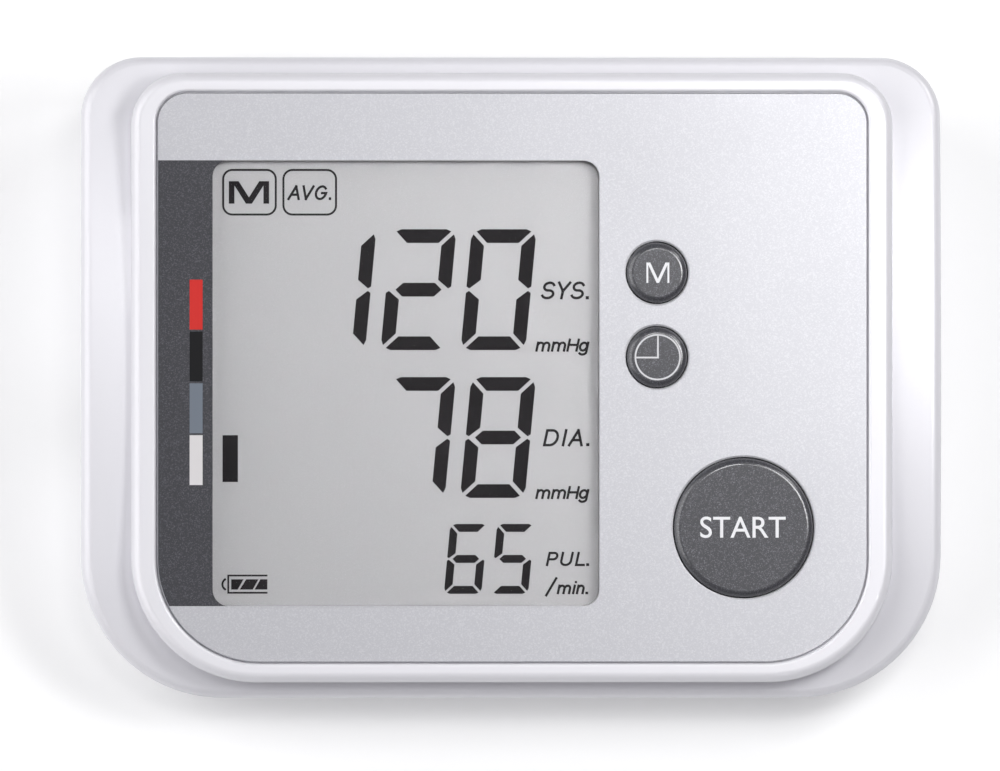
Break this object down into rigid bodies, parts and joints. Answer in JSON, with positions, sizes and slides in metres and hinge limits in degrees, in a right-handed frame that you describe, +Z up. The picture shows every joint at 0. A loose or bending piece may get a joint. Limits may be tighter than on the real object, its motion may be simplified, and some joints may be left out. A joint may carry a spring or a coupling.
{
  "type": "blood pressure monitor",
  "caption": "Tabletop upper-arm blood pressure monitor: wedge casing with a raised bezel, recessed display, push buttons, air socket, adapter jack, pump and battery bay.",
  "frame": {"origin": "on the table, under the middle of the casing", "axes": "+X to the user's right, +Y to the rear, +Z up; the face is tilted 10 degrees towards the user"},
  "size_m": [0.152, 0.1124, 0.0461],
  "materials": {
    "casing_white": "satin moulded white plastic",
    "panel_silver": "metallic silver lacquer",
    "strip_grey": "dark grey metallic print",
    "window_clear": "clear acrylic",
    "display_grey": "reflective liquid crystal glass",
    "frame_black": "moulded black plastic",
    "contact_rubber": "layered conductive rubber",
    "button_grey": "dark grey metallic plastic",
    "dome_rubber": "translucent silicone rubber",
    "board_green": "solder resist",
    "chip_black": "moulded resin",
    "plug_cream": "moulded nylon",
    "can_aluminium": "drawn can",
    "motor_steel": "plated steel",
    "pump_black": "moulded plastic",
    "valve_blue": "moulded plastic",
    "hose_silicone": "translucent silicone",
    "socket_grey": "moulded dark grey plastic",
    "pin_brass": "turned brass",
    "cell_wrap": "printed sleeve on a steel can",
    "contact_nickel": "nickel plated",
    "foot_rubber": "moulded rubber",
    "screw_steel": "zinc plated",
    "wire_red": "PVC insulation"
  },
  "bodies": {
    "casing": {"upper_casing": "casing_white", "lower_casing": "casing_white", "case_screws": "screw_steel", "rubber_feet": "foot_rubber", "face_panel": "panel_silver", "scale_strip": "strip_grey", "display_window": "window_clear", "display_glass": "display_grey", "display_frame": "frame_black", "contact_strips": "contact_rubber", "start_dome": "dome_rubber", "memory_dome": "dome_rubber", "clock_dome": "dome_rubber", "main_board": "board_green", "board_screws": "screw_steel", "processor_chip": "chip_black", "buzzer": "chip_black", "board_capacitors": "can_aluminium", "board_plugs": "plug_cream", "pressure_sensor": "chip_black", "battery_1": "cell_wrap", "battery_2": "cell_wrap", "battery_3": "cell_wrap", "battery_4": "cell_wrap", "contact_plates": "contact_nickel", "contact_springs": "contact_nickel", "pump_motor": "motor_steel", "pump_head": "pump_black", "pump_cradle": "pump_black", "pump_strap": "pump_black", "pump_screws": "screw_steel", "valve_body": "valve_blue", "air_manifold": "pump_black", "air_socket": "socket_grey", "adapter_jack": "socket_grey", "jack_pin": "pin_brass", "valve_hose": "hose_silicone", "socket_hose": "hose_silicone", "sensor_hose": "hose_silicone", "pump_hose": "hose_silicone", "pump_leads": "wire_red", "battery_leads": "wire_red", "valve_leads": "wire_red"},
    "start_button": {"start_button": "button_grey"},
    "memory_button": {"memory_button": "button_grey"},
    "clock_button": {"clock_button": "button_grey"},
    "battery_door": {"battery_door": "casing_white"},
    "pump_rotor": {"pump_rotor": "motor_steel"},
    "valve_plunger": {"valve_plunger": "motor_steel"}
  },
  "joints": [
    {"name": "start_press", "type": "slide", "parent": "casing", "child": "start_button", "axis": [0, 0.1736, -0.9848], "range_m": [0, 0.001], "stiffness_N_per_m": 2000, "deforming": ["start_dome"]},
    {"name": "memory_press", "type": "slide", "parent": "casing", "child": "memory_button", "axis": [0, 0.1736, -0.9848], "range_m": [0, 0.001], "stiffness_N_per_m": 1500, "deforming": ["memory_dome"]},
    {"name": "clock_press", "type": "slide", "parent": "casing", "child": "clock_button", "axis": [0, 0.1736, -0.9848], "range_m": [0, 0.001], "stiffness_N_per_m": 1500, "deforming": ["clock_dome"]},
    {"name": "battery_door_hinge", "type": "hinge", "parent": "casing", "child": "battery_door", "pos_m": [0, -0.01232, 0.0027], "axis": [-1, 0, 0], "range_deg": [0, 90]},
    {"name": "pump_spin", "type": "hinge", "parent": "casing", "child": "pump_rotor", "pos_m": [0.0471, 0.02098, 0.0147], "axis": [0, 1, 0], "continuous": true},
    {"name": "valve_stroke", "type": "slide", "parent": "casing", "child": "valve_plunger", "axis": [0, -1, 0], "range_m": [0, 0.001], "stiffness_N_per_m": 400}
  ]
}
